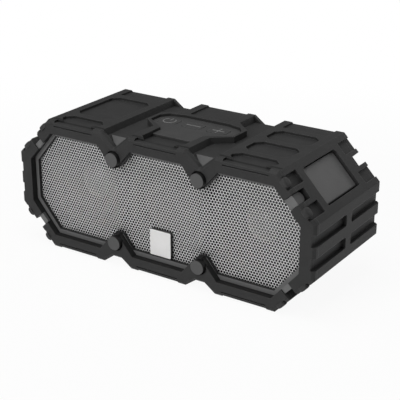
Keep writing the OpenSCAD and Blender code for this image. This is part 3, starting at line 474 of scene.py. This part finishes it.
NODE_FINISH = {
    "jacket": "jacket_rubber", "rear_cover": "jacket_rubber", "front_bezel": "bezel_rubber",
    "grille_frame": "frame_plastic", "bezel_pins": "knob_plastic", "badge_plate": "plate_white",
    "control_pad": "pad_rubber", "power_button": "pad_rubber", "minus_button": "pad_rubber",
    "plus_button": "pad_rubber", "port_cover": "cover_plastic", "port_panel": "inner_black",
    "inner_shell": "shell_plastic", "baffle": "inner_black", "baffle_gasket": "roll_rubber",
    "radiator_frame": "basket_steel", "radiator_disc": "cone_pulp", "radiator_weight": "plated_steel",
    "radiator_surround": "roll_rubber", "driver_screws": "screw_black", "rear_screws": "screw_steel",
    "board_screws": "screw_steel", "key_board": "board_green", "key_switches": "plated_steel",
    "socket_board": "board_green", "usb_socket": "plated_steel", "charge_socket": "plated_steel",
    "audio_socket": "inner_black", "port_hinge_pin": "plated_steel", "main_board": "board_green",
    "battery_cells": "cell_film", "battery_cradle": "inner_black",
}
DRIVER_FINISH = {
    "basket": "basket_steel", "motor": "plated_steel", "cone": "cone_pulp", "dust_cap": "cap_satin",
    "surround": "roll_rubber",
}
for side in ("left", "right"):
    NODE_FINISH.update({f"{side}_{part}": finish for part, finish in DRIVER_FINISH.items()})

for node_name, finish_name in NODE_FINISH.items():
    slots = nodes[node_name].data.materials
    slots.clear()
    slots.append(FINISHES[finish_name])


# New pieces


def piece(name, points, faces, finishes, body, kinds=None):
    """A mesh piece in the shared frame that rides on a body; kinds gives each face's place in finishes."""
    mesh = bpy.data.meshes.new(name)
    mesh.from_pydata(points, [], faces)
    for finish in finishes:
        mesh.materials.append(FINISHES[finish])
    if kinds:
        mesh.polygons.foreach_set("material_index", kinds)
    mesh.validate()
    obj = bpy.data.objects.new(name, mesh)
    bpy.context.scene.collection.objects.link(obj)
    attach(obj, body)
    return obj


# Window of the grille frame, from one lobe's middle: half height, outer slant, slant beside a neighbour
WINDOW_H = 29.7 * MM
OUTER_SLANT = np.array([[16.8, 29.7], [31.4, 12.0]]) * MM
INNER_SLANT = np.array([[19.5, 29.7], [26.3, 21.2]]) * MM


def past_slant(dx, z, slant):
    """Distance of points beyond a slant, outwards."""
    run = slant[1] - slant[0]
    out = np.array([-run[1], run[0]]) / np.linalg.norm(run)
    return (dx - slant[0, 0]) * out[0] + (np.abs(z) - slant[0, 1]) * out[1]


def inside_window(x, z, margin):
    """Whether points lie inside the grille's window, grown by a margin."""
    lobe = np.clip(np.round(x / LOBE_PITCH), -1, 1)
    dx = np.abs(x - lobe * LOBE_PITCH)
    beside = np.abs(x) < LOBE_PITCH
    inner = past_slant(np.minimum(dx, INNER_SLANT[1, 0]), z, INNER_SLANT)
    outer = np.maximum(past_slant(dx, z, OUTER_SLANT), dx - OUTER_SLANT[1, 0])
    return (np.abs(z) < WINDOW_H + margin) & (np.where(beside, inner, outer) < margin)


def sheet_relief(x, z):
    """Depth of the sheet: each lobe is slightly hollow, and a soft ridge stands forward between two lobes."""
    hollow, ridge, ridge_half = 0.4 * MM, 1.9 * MM, 20.5 * MM
    lobe = max(-1, min(1, round(x / LOBE_PITCH)))
    across = (x - lobe * LOBE_PITCH) / (LOBE_PITCH / 2)
    near = max(0.0, 1 - abs(abs(x) - LOBE_PITCH / 2) / (LOBE_PITCH / 2))
    upright = max(0.0, 1 - (z / ridge_half) ** 4)
    return hollow * max(0.0, 1 - across * across) - ridge * near * near * upright


def around(radius, turns):
    """Points on a circle at the given turns."""
    return radius * np.stack([np.cos(turns), np.sin(turns)], 1)


def fine_grille():
    """Perforated sheet at its real pitch: six-sided cells with round holes, front, back, hole walls and rim.

    A hole has twelve corners at the front and six, a little further out, at the back, which can't be seen.
    """
    pitch, hole_r, back_r, thick = 1.82 * MM, 0.77 * MM, 0.83 * MM, 0.3 * MM
    margin, weld = 0.5 * MM, 0.01 * MM
    # Face kinds: the painted front, and the walls, back and rim in near-black, which is painted shade
    paint, dark = 0, 1
    row_h = pitch * math.sqrt(3) / 2
    low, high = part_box("grille")
    rows = int(0.5 * (high.z - low.z) / row_h) + 1
    cols = int(0.5 * (high.x - low.x) / pitch) + 1
    centres = np.array([((c + 0.5 * (r % 2)) * pitch, r * row_h)
                        for r in range(-rows, rows + 1) for c in range(-cols - 1, cols + 1)])
    centres = centres[inside_window(centres[:, 0], centres[:, 1], margin)]
    cell_corners = around(pitch / math.sqrt(3), np.radians(30 + 60 * np.arange(6)))
    front_ring = around(hole_r, np.radians(30 * np.arange(12)))
    back_ring = around(back_r, np.radians(60 * np.arange(6)))
    points, faces, kinds, known, edges = [], [], [], {}, {}

    def add(x, z, depth=0.0):
        """A point on the front of the sheet, or behind it by a depth; returns its number."""
        points.append((x, low.y + sheet_relief(x, z) + depth, MID_Z + z))
        return len(points) - 1

    def face(kind, *corners):
        faces.append(corners[::-1])
        kinds.append(kind)

    for cx, cz in centres:
        corners = []
        for px, pz in cell_corners:
            key = (round((cx + px) / weld), round((cz + pz) / weld))
            if key not in known:
                known[key] = (add(cx + px, cz + pz), add(cx + px, cz + pz, thick))
            corners.append(known[key])
        hole = [add(cx + px, cz + pz) for px, pz in front_ring]
        back = [add(cx + px, cz + pz, thick) for px, pz in back_ring]
        for k in range(6):
            here, after = corners[k], corners[(k + 1) % 6]
            a, b, c, d = [hole[(j + 2 * k) % 12] for j in range(4)]
            near, far = back[k], back[(k + 1) % 6]
            for front_face in ((here[0], b, c), (here[0], c, after[0]), (after[0], c, d)):
                face(paint, *front_face)
            for back_face in ((far, near, here[1]), (after[1], far, here[1])):
                face(dark, *back_face)
            for wall_face in ((b, a, near), (far, b, near), (c, b, far)):
                face(dark, *wall_face)
            edges[(here, after)] = True
    for here, after in edges:
        if (after, here) not in edges:
            face(dark, here[0], after[0], after[1], here[1])
    finishes = ["grille_paint", "hole_wall_shade"]
    obj = piece("grille_sheet", points, faces, finishes, "speaker_body", kinds)
    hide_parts("grille")


def tongue_pads():
    """Soft rounded ends of the bezel's tongues, two on each slope."""
    long_half, deep_half, squareness, count = 2.9, 2.7, 2.6, 28
    tongue_places = (-10.2, 8.6)
    middle_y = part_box("front_bezel")[0].y + 2.1 * MM
    # Heights above the slope, and how far the outline is drawn in there
    profile = [(-2.3, 0.0), (-0.4, 0.0), (-0.05, 0.12), (0.22, 0.45), (0.4, 1.0), (0.48, 1.7)]
    outline = []
    for k in range(count):
        c, s = math.cos(2 * math.pi * k / count), math.sin(2 * math.pi * k / count)
        reach = (abs(c) ** squareness + abs(s) ** squareness) ** (-1 / squareness)
        outline.append((reach * c, reach * s))
    points, faces = [], []
    for sx, sz, along in itertools.product((-1, 1), (-1, 1), tongue_places):
        start = len(points)
        for height, inset in profile:
            for u, v in outline:
                t = along + (long_half - inset) * u
                y = middle_y + (deep_half - inset) * v * MM
                x, z = [SLOPE_MIDDLE[i] + (SLOPE_ALONG[i] * t + SLOPE_OUT[i] * height) * MM for i in (0, 1)]
                points.append((sx * x, y, MID_Z + sz * z))
        rings = [range(start + level * count, start + (level + 1) * count) for level in range(len(profile))]
        order = -sx * sz
        for lower, upper in zip(rings, rings[1:]):
            for k in range(count):
                after = (k + 1) % count
                faces.append((lower[k], upper[k], upper[after], lower[after])[::order])
        faces.append(tuple(rings[-1])[::-order])
        faces.append(tuple(rings[0])[::order])
    piece("tongue_pads", points, faces, ["tongue_rubber"], "speaker_body")


def stroke(points, width):
    """Left and right sides of a flat line of a width along 2-D points."""
    points = [Vector(p) for p in points]
    left, right = [], []
    for i, p in enumerate(points):
        direction = (points[min(i + 1, len(points) - 1)] - points[max(i - 1, 0)]).normalized()
        aside = Vector((-direction.y, direction.x)) * width / 2
        left.append(p + aside)
        right.append(p - aside)
    return left, right


def line_faces(start, n):
    """Faces of one raised line with n places, on three levels, whose first point has the number start."""
    faces = []
    steps = ((0, 1), (1, 2))

    def at(level, i, hand):
        """Number of a point, by level, place along the line and hand, 0 for left and 1 for right."""
        return start + 2 * (level * n + i) + hand

    for i, k in zip(range(n - 1), range(1, n)):
        for low, high in steps:
            faces.append((at(low, i, 0), at(high, i, 0), at(high, k, 0), at(low, k, 0)))
            faces.append((at(low, k, 1), at(high, k, 1), at(high, i, 1), at(low, i, 1)))
        faces.append((at(2, i, 0), at(2, i, 1), at(2, k, 1), at(2, k, 0)))
        faces.append((at(0, i, 1), at(0, i, 0), at(0, k, 0), at(0, k, 1)))
    for i, order in ((0, 1), (n - 1, -1)):
        for low, high in steps:
            end = (at(low, i, 0), at(low, i, 1), at(high, i, 1), at(high, i, 0))
            faces.append(end[::order])
    return faces


def raised_mark(name, lines, body, button):
    """A mark of flat raised lines on a button's top; lines are lists of points in millimetres."""
    height, width, sunk = 0.22, 0.75, 0.05
    # Levels of a line's cross section, and the share of the width there
    section = ((-sunk, 1.0), (height * 0.6, 1.0), (height, 0.72))
    low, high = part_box(button)
    cx, cy, top = (low.x + high.x) / 2, (low.y + high.y) / 2, high.z
    points, faces = [], []
    for line in lines:
        left, right = stroke(line, width)
        faces += line_faces(len(points), len(line))
        for level, share in section:
            for a, b in zip(left, right):
                mid = (a + b) / 2
                for p in (mid + (a - mid) * share, mid + (b - mid) * share):
                    points.append((cx + p.x * MM, cy + p.y * MM, top + level * MM))
    piece(name, points, faces, ["mark_paint"], body)


def arc(radius, start, end, count=32):
    """Points of an arc between two angles in degrees."""
    turns = [math.radians(start + (end - start) * i / (count - 1)) for i in range(count)]
    return [(radius * math.cos(t), radius * math.sin(t)) for t in turns]


fine_grille()
tongue_pads()

# Marks, in millimetres from the middle of their button: the open ring and its bar, the dash and the cross
RING_R, RING_START, RING_END = 3.75, 128, 412
BAR_FOOT, BAR_TOP = 0.6, RING_R + 0.7
DASH_HALF, ARM_HALF, ARM_FOOT = 4.8, 3.9, 0.38
POWER_LINES = [arc(RING_R, RING_START, RING_END), [(0, BAR_FOOT), (0, BAR_TOP)]]
MINUS_LINES = [[(-DASH_HALF, 0), (DASH_HALF, 0)]]
PLUS_LINES = [
    [(-ARM_HALF, 0), (ARM_HALF, 0)],
    [(0, -ARM_HALF), (0, -ARM_FOOT)],
    [(0, ARM_FOOT), (0, ARM_HALF)],
]
raised_mark("power_mark", POWER_LINES, "power_key", "power_button")
raised_mark("minus_mark", MINUS_LINES, "minus_key", "minus_button")
raised_mark("plus_mark", PLUS_LINES, "plus_key", "plus_button")


# Studio


def studio_floor():
    """Pale floor that fades into the white background and keeps a soft shadow."""
    half = 6.0
    fade_start, fade_end = 0.16, 0.42
    white_near, white_gain = 0.93, 0.07
    paper_tone = grey(0.86)
    corners = [(-half, -half, 0), (half, -half, 0), (half, half, 0), (-half, half, 0)]
    mesh = bpy.data.meshes.new("floor")
    mesh.from_pydata(corners, [], [(0, 1, 2, 3)])
    f = Finish("floor_paper")
    away = f.node("ShaderNodeVectorMath", {"operation": "LENGTH"}, {0: f.place}, "Value")
    fade = f.ramp(away, fade_start, fade_end)
    share = f.seen_by("Camera", "Glossy", "Transmission") * (white_near + white_gain * fade)
    paper = f.node("ShaderNodeBsdfDiffuse", None, {"Color": paper_tone})
    white = f.node("ShaderNodeEmission", None, {"Color": grey(1.0), "Strength": 1.0})
    surface = f.node("ShaderNodeMixShader", None, {0: share, 1: paper, 2: white})
    f.node("ShaderNodeOutputMaterial", None, {"Surface": surface})
    mesh.materials.append(f.material)
    floor = bpy.data.objects.new("floor", mesh)
    bpy.context.scene.collection.objects.link(floor)


def studio_world(level):
    """Even grey light, and plain white where the background is seen."""
    world = bpy.data.worlds.new("studio")
    bpy.context.scene.world = world
    world.use_nodes = True
    sky = Shading(world.node_tree)
    strength = level + sky.seen_by("Camera", "Transmission") * (1.0 - level)
    glow = sky.node("ShaderNodeBackground", None, {"Color": grey(1.0), "Strength": strength})
    sky.node("ShaderNodeOutputWorld", None, {"Surface": glow})


def softbox(name, place, size, power):
    """A rectangular lamp that aims at the middle of the loudspeaker."""
    light = bpy.data.lights.new(name, "AREA")
    light.shape = "RECTANGLE"
    light.size, light.size_y = size
    light.energy = power
    obj = bpy.data.objects.new(name, light)
    obj.location = place
    aim = Vector((0.0, 0.0, MID_Z)) - Vector(place)
    obj.rotation_euler = aim.to_track_quat("-Z", "Y").to_euler()
    bpy.context.scene.collection.objects.link(obj)


def photo_camera():
    """The photograph's viewpoint, fitted to its outline corners with the lobes taken as 60 units apart."""
    unit = LOBE_PITCH / 60
    yaw, pitch = math.radians(33.70), math.radians(22.26)
    target_x, target_z, distance = 29.9 * unit, 55.9 * unit, 609.2 * unit
    target_y = cad_low.y + 3.6 * MM
    focal_pixels, photo_pixels, sensor = 1086.6, 400.0, 36.0
    back = Vector((math.sin(yaw) * math.cos(pitch), -math.cos(yaw) * math.cos(pitch), math.sin(pitch)))
    data = bpy.data.cameras.new("photo_camera")
    data.sensor_width = sensor
    data.lens = focal_pixels / photo_pixels * sensor
    camera = bpy.data.objects.new("photo_camera", data)
    camera.location = Vector((target_x, target_y, target_z)) + back * distance
    camera.rotation_euler = (-back).to_track_quat("-Z", "Y").to_euler()
    bpy.context.scene.collection.objects.link(camera)
    bpy.context.scene.camera = camera


studio_floor()
studio_world(level=0.2)
softbox("top_box", place=(-0.1, -0.25, 1.1), size=(0.9, 0.7), power=7.0)
softbox("front_box", place=(-0.1, -1.1, 0.55), size=(0.8, 0.6), power=4.5)
softbox("back_box", place=(0.2, 1.2, 0.5), size=(0.8, 0.6), power=2.2)
photo_camera()
bpy.context.scene.view_settings.view_transform = "Standard"
